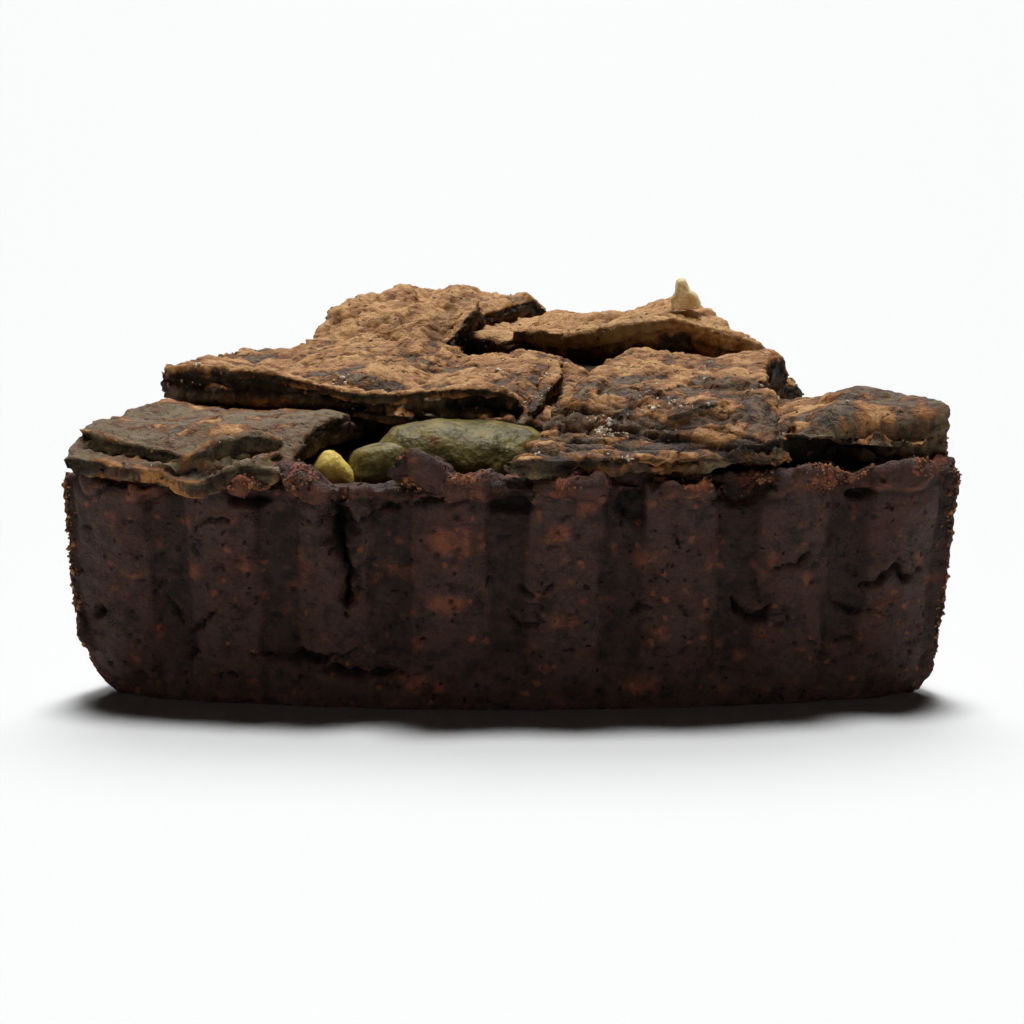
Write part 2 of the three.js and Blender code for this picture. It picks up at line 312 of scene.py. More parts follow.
def keep_result(piece):
    """Applies the piece's modifiers."""
    mesh = bpy.data.meshes.new_from_object(piece.evaluated_get(bpy.context.evaluated_depsgraph_get()))
    piece.modifiers.clear()
    piece.data = mesh
    mesh.materials.clear()


def dress(piece, material):
    piece.data.polygons.foreach_set("use_smooth", [True] * len(piece.data.polygons))
    piece.data.materials.append(material)


def finish_piece(skin, most, material):
    """Shapes the piece, thins it out to at most so many triangles, and gives it its material."""
    skin.write()
    piece = skin.piece
    triangles = sum(len(face.vertices) - 2 for face in piece.data.polygons)
    if triangles > most:
        thin = piece.modifiers.new("thin", "DECIMATE")
        thin.ratio = most / triangles
        keep_result(piece)
    dress(piece, material)


# ---- materials ----
def linear(code):
    """An sRGB hex colour as the linear values that shaders take."""
    shares = [int(code[i : i + 2], 16) / 255.0 for i in (1, 3, 5)]
    return (*[s / 12.92 if s <= 0.04045 else ((s + 0.055) / 1.055) ** 2.4 for s in shares], 1.0)


def add_node(tree, kind, inputs=(), out=0, **settings):
    """Adds a node. Its inputs are constants or other nodes' outputs; it gives one output."""
    node = tree.nodes.new("ShaderNode" + kind)
    for key, value in settings.items():
        setattr(node, key, value)
    for key, value in inputs.items() if isinstance(inputs, dict) else enumerate(inputs):
        if isinstance(value, bpy.types.NodeSocket):
            tree.links.new(value, node.inputs[key])
        else:
            node.inputs[key].default_value = value
    return node.outputs[out] if len(node.outputs) else node


def adder(owner):
    """Empties the nodes of a material or of the world, and gives the function that adds to them."""
    owner.use_nodes = True
    owner.node_tree.nodes.clear()
    return partial(add_node, owner.node_tree)


# A mix of colours takes its share at socket 0 and the two colours at 6 and 7.
COLOURS = {"out": 2, "data_type": "RGBA"}
SOFT = {"interpolation_type": "SMOOTHSTEP"}
TIMES = {"operation": "MULTIPLY"}
TIMES_ADD = {"operation": "MULTIPLY_ADD"}
WEIGHED = {"out": "Value", "operation": "DOT_PRODUCT"}


def new_material(name):
    """A new material, the function that adds to its nodes, and the places on the slice in mm."""
    material = bpy.data.materials.new(name)
    add = adder(material)
    return material, add, add("VectorMath", [add("TexCoord", out="Object"), (1.0 / MM,) * 3], **TIMES)


def chocolate_shortcrust(name, shades, amount, crumbly, sheen):
    """Cocoa shortcrust, rolled out or pressed in and baked.

    Nearly black dough with a dull sheen, blotched tan where butter and sugar caramelised, gritty to the
    touch, with painted shade: black in its cracks, dents and pin holes, and darker between its crumbs.
    """
    dark, dough, warm, butter, toasted = [linear(shade) for shade in shades]
    material, add, mm = new_material(name)
    drift = add("TexNoise", {"Vector": mm, "Scale": 1 / 2.4, "Detail": 3.0}, "Color")
    swirled = add("VectorMath", [drift, (2.6,) * 3, mm], **TIMES_ADD)
    painted_shade, browned, reddish, relief = [add("Attribute", out="Fac", attribute_name=mark) for mark in MARKS]

    tone = add("TexNoise", {"Vector": mm, "Scale": 1 / 1.8, "Detail": 5.0, "Roughness": 0.7})
    # what stands proud is lighter and what lies low is darker: partly browning, partly painted light and
    # shade
    proud = add("Math", [relief, 0.14, tone], **TIMES_ADD)
    share = add("MapRange", [proud, 0.38, 0.62], **SOFT)
    colour = add("Mix", {0: share, 6: dark, 7: dough}, **COLOURS)
    wide = add("TexNoise", {"Vector": swirled, "Scale": 1 / 6.0, "Detail": 4.0, "Roughness": 0.6})
    warmer = add("MapRange", [wide, 0.46, 0.64, 0.0, 0.4], **SOFT)
    colour = add("Mix", {0: warmer, 6: colour, 7: warm}, **COLOURS)

    # blotches with crisp edges, 1 to 5 mm across, on what stands proud: singed, caramel, toasted
    blotch = add("TexNoise", {"Vector": swirled, "Scale": 1 / 3.4, "Detail": 8.0, "Roughness": 0.72})
    standing = add("VectorMath", [add("CombineXYZ", [browned, relief, tone]), (0.3, 0.1, 0.2)], **WEIGHED)
    baked = add("Math", [blotch, standing], operation="ADD")
    browning = []
    stages = ((0.74, 0.83, 0.8, warm), (0.80, 0.92, 0.88, butter), (0.95, 1.10, 0.8, toasted))
    for low, high, most, shade in stages:
        browning.append(add("MapRange", [baked, low - amount, high - amount, 0.0, most], **SOFT))
        colour = add("Mix", {0: browning[-1], 6: colour, 7: shade}, **COLOURS)

    # sparse grains of butter and sugar, and pin holes, about 0.5 mm: the spacing of their cells,
    # their outer and inner reach, how strong they are, and the share of cells without one
    sparse = []
    butter_grains = (1.5, 0.34, 0.16, 0.5, 0.78, 0.84)
    pin_holes = (1.2, 0.26, 0.14, 0.85, 0.66, 0.74)
    for size, far, close, most, few, many in (butter_grains, pin_holes):
        cell = {"Vector": swirled, "Scale": 1 / size}
        chance = add("SeparateColor", [add("TexVoronoi", cell, "Color")])
        near = add("MapRange", [add("TexVoronoi", cell, "Distance"), far, close, 0.0, most], **SOFT)
        chosen = add("MapRange", [chance, few, many], **SOFT)
        sparse.append(add("Math", [near, chosen], **TIMES))
    buttery, holes = sparse
    colour = add("Mix", {0: buttery, 6: colour, 7: butter}, **COLOURS)
    mottled = add("MapRange", [tone, 0.36, 0.6, 0.25, 1.0], **SOFT)
    colour = add("Mix", {0: add("Math", [reddish, mottled], **TIMES), 6: colour, 7: butter}, **COLOURS)

    # gaps between the crumbs; painted shade, mixed towards black, in the marked cracks and hollows, in the
    # pin holes, and half as strong in these gaps
    crumb = add("TexVoronoi", {"Vector": swirled, "Scale": 1 / 0.9}, "Distance", feature="DISTANCE_TO_EDGE")
    gaps = add("MapRange", [crumb, 0.10, 0.0, 0.0, crumbly], **SOFT)
    shaded = add("Math", [gaps, 0.5], **TIMES)
    opened = add("Math", [holes, shaded], operation="MAXIMUM")
    black = add("Math", [painted_shade, opened], operation="MAXIMUM")
    colour = add("Mix", {0: black, 6: colour, 7: linear("#080504")}, **COLOURS)

    grit = add("TexNoise", {"Vector": mm, "Scale": 1 / 0.4, "Detail": 4.0, "Roughness": 0.7})
    knead = add("TexNoise", {"Vector": swirled, "Scale": 1 / 1.2, "Detail": 3.0})
    fine = add("VectorMath", [add("CombineXYZ", [grit, knead, gaps]), (0.2, 0.4, -0.16)], **WEIGHED)
    stacked = add("CombineXYZ", [fine, holes, browning[1]])
    height = add("VectorMath", [stacked, (1.0, -0.25, 0.0909)], **WEIGHED)
    bump = add("Bump", {"Strength": 1.0, "Distance": MM, "Height": height})
    dull = add("MapRange", [tone, 0.3, 0.7, sheen, sheen + 0.2])
    inputs = {"Base Color": colour, "Roughness": dull, "Normal": bump, "Specular IOR Level": 0.2}
    add("OutputMaterial", {"Surface": add("BsdfPrincipled", inputs)})
    return material


def cooked_pear(name, pale, deep, speck):
    """Pear flesh, baked until soft: moist and a little see-through, with fibres and gritty cells."""
    material, add, mm = new_material(name)
    cloudy = add("TexNoise", {"Vector": mm, "Scale": 1 / 2.6, "Detail": 5.0, "Roughness": 0.65})
    share = add("MapRange", [cloudy, 0.38, 0.62], **SOFT)
    colour = add("Mix", {0: share, 6: linear(deep), 7: linear(pale)}, **COLOURS)
    cell = add("TexVoronoi", {"Vector": mm, "Scale": 1 / 0.8}, "Distance")
    spot = add("Attribute", out="Fac", attribute_name="browned")
    colour = add("Mix", {0: spot, 6: colour, 7: linear("#6e3d22")}, **COLOURS)
    gritty = add("MapRange", [cell, 0.36, 0.12, 0.0, 0.35], **SOFT)
    colour = add("Mix", {0: gritty, 6: colour, 7: linear(speck)}, **COLOURS)
    fibre = add("TexNoise", {"Vector": mm, "Scale": 1 / 0.9, "Detail": 4.0})
    height = add("VectorMath", [add("CombineXYZ", [fibre, gritty, 0.0]), (0.4, 0.08, 0.0)], **WEIGHED)
    bump = add("Bump", {"Strength": 1.0, "Distance": MM, "Height": height})
    inputs = {"Base Color": colour, "Roughness": 0.46, "Normal": bump, "Specular IOR Level": 0.12}
    inputs |= {"Subsurface Weight": 0.5, "Subsurface Radius": (0.0016, 0.0013, 0.0006)}
    inputs["Subsurface Scale"] = 1.0
    add("OutputMaterial", {"Surface": add("BsdfPrincipled", inputs)})
    return material


def cocoa_filling(name):
    """Soft cocoa filling, baked: nearly black and moist, with a fine crumb where it is cut."""
    material, add, mm = new_material(name)
    tone = add("TexNoise", {"Vector": mm, "Scale": 1 / 2.5, "Detail": 5.0, "Roughness": 0.6})
    share = add("MapRange", [tone, 0.35, 0.65], **SOFT)
    colour = add("Mix", {0: share, 6: linear("#150d09"), 7: linear("#3a261b")}, **COLOURS)
    crumb = add("TexNoise", {"Vector": mm, "Scale": 1 / 0.6, "Detail": 4.0, "Roughness": 0.7})
    bump = add("Bump", {"Strength": 1.0, "Distance": 0.4 * MM, "Height": crumb})
    moist = add("MapRange", [tone, 0.3, 0.7, 0.35, 0.6])
    inputs = {"Base Color": colour, "Roughness": moist, "Normal": bump, "Specular IOR Level": 0.28}
    add("OutputMaterial", {"Surface": add("BsdfPrincipled", inputs)})
    return material


def toasted_crumb(name, dark, light):
    """Loose crumbs of the crust: rough and golden where the oven toasted them."""
    material, add, mm = new_material(name)
    tone = add("TexNoise", {"Vector": mm, "Scale": 1 / 1.2, "Detail": 3.0, "Roughness": 0.6})
    share = add("MapRange", [tone, 0.38, 0.62], **SOFT)
    colour = add("Mix", {0: share, 6: linear(dark), 7: linear(light)}, **COLOURS)
    grit = add("TexNoise", {"Vector": mm, "Scale": 1 / 0.2, "Detail": 2.0})
    bump = add("Bump", {"Strength": 1.0, "Distance": 0.06 * MM, "Height": grit})
    inputs = {"Base Color": colour, "Roughness": 0.6, "Normal": bump, "Specular IOR Level": 0.35}
    add("OutputMaterial", {"Surface": add("BsdfPrincipled", inputs)})
    return material


PRESSED_SHADES = ("#2a1f1b", "#4a342d", "#4a2a20", "#955436", "#b87a49")
ROLLED_SHADES = ("#3f3022", "#806e50", "#6e4228", "#aa743e", "#d6a469")
WALL = chocolate_shortcrust("crust_pressed_in_the_tin", PRESSED_SHADES, 0.0, 0.35, 0.5)
TOP = chocolate_shortcrust("lattice_rolled_and_browned", ROLLED_SHADES, 0.15, 0.3, 0.5)
PEAR = cooked_pear("pear_baked_soft", "#857642", "#524925", "#958850")
RIPE = cooked_pear("pear_baked_golden", "#f2d873", "#c8a54e", "#f6eab0")
DRIED = cooked_pear("pear_stalk_end_dried", "#f4e4b6", "#cfae78", "#fff3d4")
FILLING = cocoa_filling("cocoa_filling_baked")
CRUMB = toasted_crumb("crust_crumbs_toasted", "#3c1d13", "#9c663a")
FLOUR = toasted_crumb("flour_and_sugar_specks", "#b79d78", "#ece0c8")


# ---- the crust ----
def on_wall(arc, z, out=0.0):
    """The place on the outer wall at arc mm along the rim and z above the table, and out mm off it."""
    radius = BASE_RADIUS + (TART_RADIUS - BASE_RADIUS) * z / RIM_HEIGHT + out
    angle = arc / TART_RADIUS
    return (radius * math.sin(angle), TART_RADIUS - radius * math.cos(angle), z)


# Folds on the rim: path as (x, depth, z), then width, thickness and lean.
RIM_FOLDS = [
    # the tongue of dough that spilled over beside the hole
    ([(-26.0, 5.4, 26.7), (-23.8, 3.8, 26.3), (-21.6, 2.6, 25.3), (-19.6, 1.6, 24.2),
      (-18.6, 1.0, 23.4)], 5.0, 1.7),
    # the lip rolled over in front of the pear
    ([(-12.9, 1.6, 26.4), (-11.2, 0.8, 27.6), (-9.4, 0.4, 27.2), (-7.4, 0.4, 26.1)], 4.2, 2.4, 20),
    ([(-8.8, 0.5, 26.8), (-5.6, 0.3, 25.4), (-3.2, 0.5, 25.5), (0.6, 0.6, 25.9),
      (2.0, 0.4, 25.0)], 3.4, 1.6),
    # lobes of the rim that stand out between the furrows
    ([(3.2, 0.8, 25.6), (5.4, 0.2, 25.2), (8.0, 0.1, 25.3), (10.4, 0.6, 25.9)], 3.4, 1.5),
    ([(15.2, 1.2, 25.8), (17.6, 1.0, 25.2), (20.4, 1.6, 25.3), (23.0, 2.6, 24.6)], 3.0, 1.6),
    ([(30.4, 4.4, 25.6), (32.6, 4.6, 26.2), (35.0, 5.6, 25.6)], 3.0, 1.7),
    # the small lip under the left strip, over its hollow
    ([(-30.0, 2.8, 24.9), (-28.2, 2.2, 25.3), (-26.2, 2.0, 25.5)], 2.4, 1.1),
    # the flake hanging below the left strip
    ([on_wall(-42.6, 23.6, 0.5), on_wall(-41.0, 24.0, 0.9), on_wall(-38.6, 24.6, 0.6)], 1.0, 1.9),
    # the crumb hanging at the left cut
    ([on_wall(-49.8, 9.4, 0.2), on_wall(-50.0, 7.2, 0.4), on_wall(-49.4, 5.0, 0.3)], 1.2, 1.5),
]
# Cracks in the wall: width and depth, then points as (mm along the rim, mm above the table).
WALL_CRACKS = [
    (2.6, 3.6, [(-18.0, 24.8), (-18.8, 21.4), (-18.9, 19.4), (-17.9, 16.8)]),
    (1.3, 2.6, [(-18.4, 19.4), (-17.6, 15.8), (-18.0, 12.8), (-18.8, 10.6)]),
    (0.9, 1.4, [(-20.6, 21.8), (-19.0, 20.4), (-16.4, 21.2)]),
    (0.6, 1.0, [(-17.7, 21.0), (-13.8, 22.8), (-8.8, 24.0), (-3.4, 24.6)]),
    (0.6, 0.9, [(-12.6, 25.4), (-8.6, 24.4), (-5.0, 24.2)]),
    (0.9, 1.6, [(-30.2, 6.2), (-27.0, 5.3), (-24.0, 5.6), (-20.6, 4.4), (-16.5, 3.9), (-13.0, 4.3),
      (-11.6, 3.7)]),
    (0.6, 1.1, [(-25.6, 6.3), (-22.0, 5.6), (-19.2, 5.9), (-16.6, 7.0)]),
    (0.6, 1.1, [(-1.0, 11.4), (0.6, 9.9), (2.2, 9.6), (3.4, 10.4)]),
    (0.5, 0.7, [(12.9, 10.3), (14.4, 11.9), (15.9, 11.2)]),
    (0.8, 1.4, [(24.6, 12.8), (25.4, 11.0), (26.6, 9.9), (28.2, 10.2), (29.2, 11.4)]),
    (0.6, 1.0, [(36.3, 11.9), (37.4, 10.6), (39.8, 10.0), (41.9, 10.6)]),
    (0.5, 0.7, [(0.3, 14.4), (2.1, 12.5)]),
    (0.5, 0.7, [(4.5, 14.8), (3.4, 13.2), (2.7, 12.6)]),
    (0.5, 0.8, [(-39.8, 11.8), (-38.8, 10.6), (-37.6, 8.6)]),
    (0.5, 0.8, [(-37.0, 7.9), (-35.4, 9.0), (-33.4, 11.2)]),
    (0.9, 1.2, [(-48.2, 9.0), (-46.7, 10.8)]),
    (0.6, 0.8, [(-37.8, 5.3), (-35.4, 5.5)]),
    (0.5, 0.7, [(30.0, 15.4), (31.8, 16.8), (34.0, 17.3)]),
    (0.8, 1.2, [(39.5, 12.8), (42.0, 14.0), (43.4, 15.4), (44.8, 13.8), (46.4, 14.6)]),
    (0.5, 0.8, [(36.0, 6.4), (38.2, 7.0), (40.3, 6.6)]),
    (0.5, 0.6, [(-36.0, 19.6), (-33.0, 21.4), (-30.4, 21.0)]),
    (0.5, 0.8, [(-11.0, 8.4), (-9.4, 8.0)]),
    (0.5, 0.8, [(11.6, 20.4), (12.8, 22.6)]),
    (0.5, 0.8, [(-34.6, 3.0), (-31.0, 3.4)]),
    (0.5, 0.7, [(17.6, 20.6), (18.6, 18.2)]),
]
# Reddish smears of butter and sugar in the wall: middle, then half width and height.
WALL_SMEARS = [
    (-6.2, 19.4, 3.0, 2.0), (4.9, 20.2, 1.6, 1.2), (-7.4, 12.3, 2.4, 0.9), (5.6, 10.2, 1.6, 1.0),
    (2.0, 7.0, 1.0, 0.8), (-29.8, 16.1, 0.5, 1.2), (14.6, 17.0, 1.4, 1.0), (-36.0, 15.0, 1.0, 0.8),
    (22.2, 16.4, 0.8, 0.8), (-43.5, 14.2, 1.8, 0.4), (16.6, 8.6, 1.0, 0.8), (-24.6, 13.9, 1.0, 0.7),
    (-41.0, 24.0, 2.2, 1.2), (26.2, 5.9, 0.9, 0.7), (-10.5, 3.0, 2.2, 1.0), (15.0, 2.6, 2.4, 1.2),
    (8.6, 23.4, 1.6, 0.8), (-8.5, 2.4, 0.8, 0.8),
]
# A distance in mm past the reach of any groove.
FAR = 9.0
# Hollows under the rim, where the furrows end: middle, half width and height, and depth. Each is painted
# dark as shade.
RIM_HOLLOWS = [
    (-0.2, 23.3, 2.6, 1.3, 1.7), (12.9, 24.0, 1.9, 1.8, 1.1), (13.4, 21.8, 1.4, 1.0, 0.8),
    (25.6, 24.3, 4.0, 1.8, 1.6), (38.8, 23.6, 1.5, 0.8, 1.2), (-28.8, 23.4, 2.7, 0.9, 1.8),
    (-42.8, 25.2, 5.4, 0.8, 1.5), (-36.0, 24.6, 2.4, 0.6, 1.0), (19.6, 26.2, 11.0, 0.8, 1.7),
]


def press_flutes(s, front, middling):
    """Presses the tin's flutes in: broad lobes with narrower, crisp furrows between them. The furrows get
    painted shade and the lobes painted light.
    """
    high = step(s.z, 16.0, 24.0)
    turn = (s.angle - FIRST_CREST) * FLUTES_PER_TART / (2.0 * math.pi) + 0.03 * lumps(s.co, 6.0, 17)
    number = np.floor(turn)
    furrow = fall(np.abs(turn - number - 0.5), 0.13, 0.21)
    s.along_normal(front * step(s.z, 1.0, 7.0) * furrow * -(0.28 + 0.3 * high))
    s.along_normal(front * 0.3 * (1.0 - furrow) * high)
    # painted shade in the furrows, and painted light on the lobes through the relief mark
    smooth = furrow * front * step(s.z, 2.0, 8.0)
    s.paint_shade(smooth * (0.42 + 0.25 * middling))
    s.relief += 0.4 * (front - smooth)
    # a crease along each furrow's side, with painted shade in it
    side = np.abs(turn - number - 0.33) * 12.8 + 3.0 * step(0.2 - lumps(s.co, 4.5, 19), 0.0, 0.4)
    s.groove(np.where(front > 0.5, side, FAR), 0.9, 0.3, 0.4)


def hollow_rim(s, front):
    for arc, z, wide, tall, deep in RIM_HOLLOWS:
        inside = np.hypot((s.arc - arc) / wide, (s.z - z) / tall) + 0.45 * lumps(s.co, 1.5, 23)
        hollow = fall(inside, 0.45, 1.15) * front
        # painted shade in the hollows
        s.dent(hollow, deep, 0.9)


def crumble_edges(s, front):
    """Makes the rim and both cut edges crumbly, with painted shade under the rim's lip and between its
    crumbs, and gives how crumbly each point is.
    """
    rim = step(s.z + 0.9 * lumps(s.co, 2.6, 29), 24.4, 25.6) * step(s.radius, 119.0, 122.0)
    s.rise += 0.8 * rim * lumps(s.co * (1.0, 1.0, 0.3), 3.2, 33)
    brim = s.z + 1.5 * layered(s.co * (1.0, 1.0, 0.3), 4.0, 35, 2) - 24.3
    s.along_normal(0.5 * step(brim, -0.3, 0.5) * front)
    # painted shade in a band under the rim's lip
    under = bell(brim, -0.5, 0.4) * front * step(lumps(s.co, 3.0, 37), -0.4, 0.1)
    s.paint_shade(0.65 * under)
    hem = bell(brim, 0.35, 0.4) * front * step(lumps(s.co, 2.2, 39), -0.3, 0.2)
    s.redden(0.42 * hem)
    edge = bell(s.cut, 0.0, 0.9) * step(s.radius, 121.0, 124.0)
    crumbly = np.clip(0.9 * rim * step(lumps(s.co, 3.6, 31), -0.25, 0.3) + 0.8 * edge, 0.0, 1.0)
    s.along_normal(0.3 * rim * layered(s.co, 1.1, 43, 2))
    s.relief += 0.7 * rim
    s.browned += 0.15 * rim
    grain, chance = grains(s.co, 0.75, 40)
    s.along_normal(crumbly * (0.34 - 0.6 * grain) * (0.45 + chance))
    # painted shade between the crumbs
    s.paint_shade(0.6 * crumbly * step(grain, 0.55, 0.85))
    s.browned += crumbly * (0.9 * chance - 0.1)
    s.redden(0.3 * crumbly * chance)
    s.rise += 0.6 * rim * step(np.abs(s.angle), 0.33, 0.36)
    s.aside -= 0.5 * step(-s.x, 30.0, 40.0) * fall(s.cut, 0.5, 6.0) * step(s.z, 2.0, 7.0)
    return crumbly


def scratch_wall(s, front):
    """Leaves pin holes, and short scratches from the tin, with painted shade in both."""
    pit, size = grains(s.co * (1.0, 1.0, 1.4), 1.9, 60)
    pits = fall(pit, 0.08, 0.24) * step(size, 0.55, 0.75) * front
    s.dent(pits, 0.5, 0.9)
    scratched = s.co * (0.4, 0.4, 1.0)
    scratch = np.abs(lumps(scratched, 1.3, 66)) + 3.0 * step(0.5 - lumps(s.co, 2.6, 68), 0.0, 0.4)
    scratches = fall(scratch, 0.0, 0.16) * front
    s.dent(scratches, 0.35, 0.8)


def crack_wall(s, front):
    wall = np.stack([s.arc, s.z], axis=1) + wander(s.co, 0.55, 1.6, 71, 2)
    thin = 0.75 + 0.7 * lumps(s.co, 1.3, 75)
    # the cracks are pressed in and painted black as shade
    for width, deep, line in WALL_CRACKS:
        distance, share = from_line(wall, line)
        taper = thin * (0.12 + 0.88 * np.sin(np.pi * share) ** 0.8)
        s.groove(np.where(front > 0.5, distance / np.maximum(taper, 0.1), FAR), width, deep)
        lifted = bell(distance, 0.9 * width + 0.3, 0.5) * np.sin(np.pi * share) * front
        s.along_normal(0.14 * lifted)
    for arc, z, wide, tall in WALL_SMEARS:
        distance = np.hypot((s.arc - arc) / wide, (s.z - z) / tall) + 0.5 * layered(s.co, 1.4, 90, 2)
        s.redden(0.62 * fall(distance, 0.4, 1.25) * front)


def square_foot(s):
    """Presses the foot square into the tin, and crumbles its two corners off."""
    foot = np.clip(125.6 + 0.6 * lumps(s.co, 5.0, 95) - s.radius, 0.0, 3.2)
    foot *= step(s.radius, 121.6, 122.8) * (s.z < 2.6)
    s.aside += foot * np.sin(s.angle)
    s.push[:, 1] -= foot * np.cos(s.angle)
    near_rim = fall(s.cut, 0.0, 9.0) * step(s.radius, 108.0, 118.0)
    lost = np.where(s.x < 0.0, 4.6, 3.2) * np.exp(-s.z / 2.6) * near_rim
    s.aside -= np.sign(s.x) * (lost + 0.3 * lumps(s.co, 2.0, 97) * step(lost, 0.5, 2.0))
    s.rise[:] = np.maximum(s.rise, 0.02 - s.z)


def shape_crust():
    s = fine_skin("tart_crust", "crust", 0.3, 2, RIM_FOLDS)
    facing = s.normal[:, 0] * np.sin(s.angle) - s.normal[:, 1] * np.cos(s.angle)
    front = step(s.radius, 121.5, 124.5) * step(facing, 0.0, 0.4)
    middling = lumps(s.co, 4.0, 5)
    fine = layered(s.co, 1.5, 8)
    ridge = 1.0 - 2.2 * np.abs(lumps(s.co, 2.8, 9))
    s.along_normal(0.26 * lumps(s.co, 11.0, 3) + 0.2 * middling + 0.13 * fine + 0.07 * ridge)
    s.relief += 0.4 * middling + 0.6 * fine
    spotted = lumps(s.co, 2.4, 15) + 0.7 * lumps(s.co, 1.0, 16)
    s.reddish += 0.42 * step(spotted, 0.5, 0.9) * front
    press_flutes(s, front, middling)
    hollow_rim(s, front)
    crumbly = crumble_edges(s, front)
    scratch_wall(s, front)
    crack_wall(s, front)
    square_foot(s)
    s.torn = crumbly * front * step(s.z, 2.0, 5.0)
    finish_piece(s, 200000, WALL)
    return s


# ---- the lattice ----
def work_dough(s, seed, torn, rough, flaky=1.0):
    """Gives rolled dough its bumps, ridges and flakes, and its torn edges their layers, with painted shade
    between the flakes, in slits and creases, and on the torn sides.
    """
    coarse = lumps(s.co, 9.0, seed)
    middling = lumps(s.co, 3.8, seed + 2)
    fine = layered(s.co, 1.5, seed + 4)
    ridge = 1.0 - 2.4 * np.abs(lumps(s.co, 2.6, seed + 5))
    s.along_normal(0.3 * coarse + rough * (0.32 * middling + 0.2 * fine + 0.16 * ridge))
    s.relief += 0.5 * middling + 0.5 * fine

    # flakes and crumbs standing at their own heights, the high ones browned
    bent = s.co + wander(s.co, 0.9, 2.4, seed + 20)
    for size, tall, tint in ((3.3, 0.34, 0.9), (1.35, 0.26, 0.7)):
        near, chance = grains(bent, size, seed + 30)
        s.along_normal(rough * (tall * (chance - 0.45) - 0.16 * step(near, 0.5, 0.9)))
        s.browned += flaky * tint * (chance - 0.5)
        # painted shade in the gaps between the flakes
        s.paint_shade(0.4 * rough * step(near, 0.62, 0.9))

    # layers showing along the torn sides, as slits with painted shade in them
    sheets = lumps(s.co * (0.25, 0.25, 1.0), 0.9, seed + 6)
    slit = fall(np.abs(sheets), 0.0, 0.22) * torn
    s.dent(slit, 0.5, 0.8)
    # the torn sides lose their browning, which is their own colour, and get painted shade as upright faces
    s.browned -= 0.8 * torn
    s.paint_shade(torn * (0.72 + 0.3 * lumps(s.co * (0.4, 0.4, 1.0), 1.6, seed + 8)))

    # creases where the dough was bent, with painted shade in them
    bend = lumps(s.co, 2.8, seed + 12)
    crease = fall(np.abs(bend), 0.0, 0.10) * step(lumps(s.co, 6.0, seed + 14), -0.05, 0.25)
    s.dent(crease, 0.42, 0.7)


def brown_patches(s, up, patches):
    """Browns the patches that the oven reached most, given as (x, depth, half width, half depth)."""
    for x, depth, wide, deep in patches:
        inside = np.hypot((s.x - x) / wide, (s.depth - depth) / deep) + 0.5 * layered(s.co, 1.8, 97, 2)
        s.browned += 0.85 * fall(inside, 0.45, 1.2) * up


def settle(s, off_middle, most=0.5):
    """Lets the underside sag onto what carries it, most of all away from the strip's long edges."""
    inward = fall(np.abs(off_middle), 0.5 * STRIP_WIDTH - 5.0, 0.5 * STRIP_WIDTH - 1.0)
    s.rise -= (0.5 + most * inward * step(s.cut, 1.0, 5.0)) * s.under


def near_line(s, *lines):
    """Each point's distance to the nearest of some (x, depth, z) lines, made a little uneven."""
    wavy = s.co + (0.0, HALF_DEPTH, 0.0) + wander(s.co, 0.45, 1.6, 391)
    return np.minimum.reduce([from_line(wavy, line)[0] for line in lines])


LEFT_FOLDS = [
    # the front end doubled over on itself, its fold open at the right
    ([(-47.0, 12.8, 28.6), (-43.8, 10.6, 28.6), (-38.5, 7.8, 28.3), (-35.3, 5.4, 27.9)], 1.8, 1.3),
    ([(-35.6, 5.2, 27.6), (-31.8, 7.2, 29.1), (-28.3, 7.9, 29.8), (-25.2, 6.8, 29.2)], 2.6, 1.5, 10),
    ([(-45.8, 8.4, 26.7), (-43.4, 6.0, 26.7), (-40.5, 5.0, 26.5), (-38.0, 4.1, 26.4)], 1.6, 0.9),
    ([(-38.4, 4.2, 26.5), (-36.4, 3.4, 25.5), (-34.4, 2.9, 25.0), (-32.4, 2.8, 25.2),
      (-31.0, 3.2, 25.9)], 1.4, 0.9),
    ([(-33.4, 3.2, 25.8), (-31.2, 2.9, 26.5), (-29.4, 2.9, 27.1), (-27.4, 3.7, 27.7),
      (-25.2, 5.2, 28.3)], 2.4, 1.5),
    # the right edge standing where the strip crosses the back one
    (
        on_top("strip_left", [(-9.4, 54.0, 0.4), (-7.6, 60.0, 0.5), (-5.8, 68.0, 0.6), (-4.6, 78.0, 0.4)]),
        2.0, 1.6, 40,
    ),
    # lumps on the crossing
    (on_top("strip_left", [(-21.5, 72.0, 0.0), (-19.0, 78.0, 0.1)]), 4.0, 1.6),
    (on_top("strip_left", [(-15.5, 78.0, 0.1), (-13.8, 85.0, 0.5)]), 4.5, 1.8),
    (on_top("strip_left", [(-8.0, 80.0, 0.1), (-6.6, 86.0, 0.5)]), 4.0, 1.6),
]
# Where the doubled end gapes: over its tan lip, and below it. The gapes are painted black as shade.
LEFT_GAPES = [
    ([(-46.6, 11.0, 27.5), (-43.2, 9.2, 27.4), (-39.0, 6.8, 27.2), (-36.6, 5.2, 26.9)], 0.9, 0.9),
    ([(-36.4, 4.2, 26.9), (-33.6, 3.6, 26.9), (-30.6, 4.2, 27.9), (-27.4, 5.4, 28.7)], 1.3, 2.2),
    ([(-46.6, 9.0, 25.9), (-43.0, 6.4, 25.8), (-38.6, 4.6, 25.6), (-37.2, 4.0, 25.2)], 0.9, 1.4),
]
# The furrow along the strip's top, as (back, across) points, with a little painted shade in it.
LEFT_FURROW = [(48.0, -29.2), (66.0, -32.6), (84.0, -36.2)]
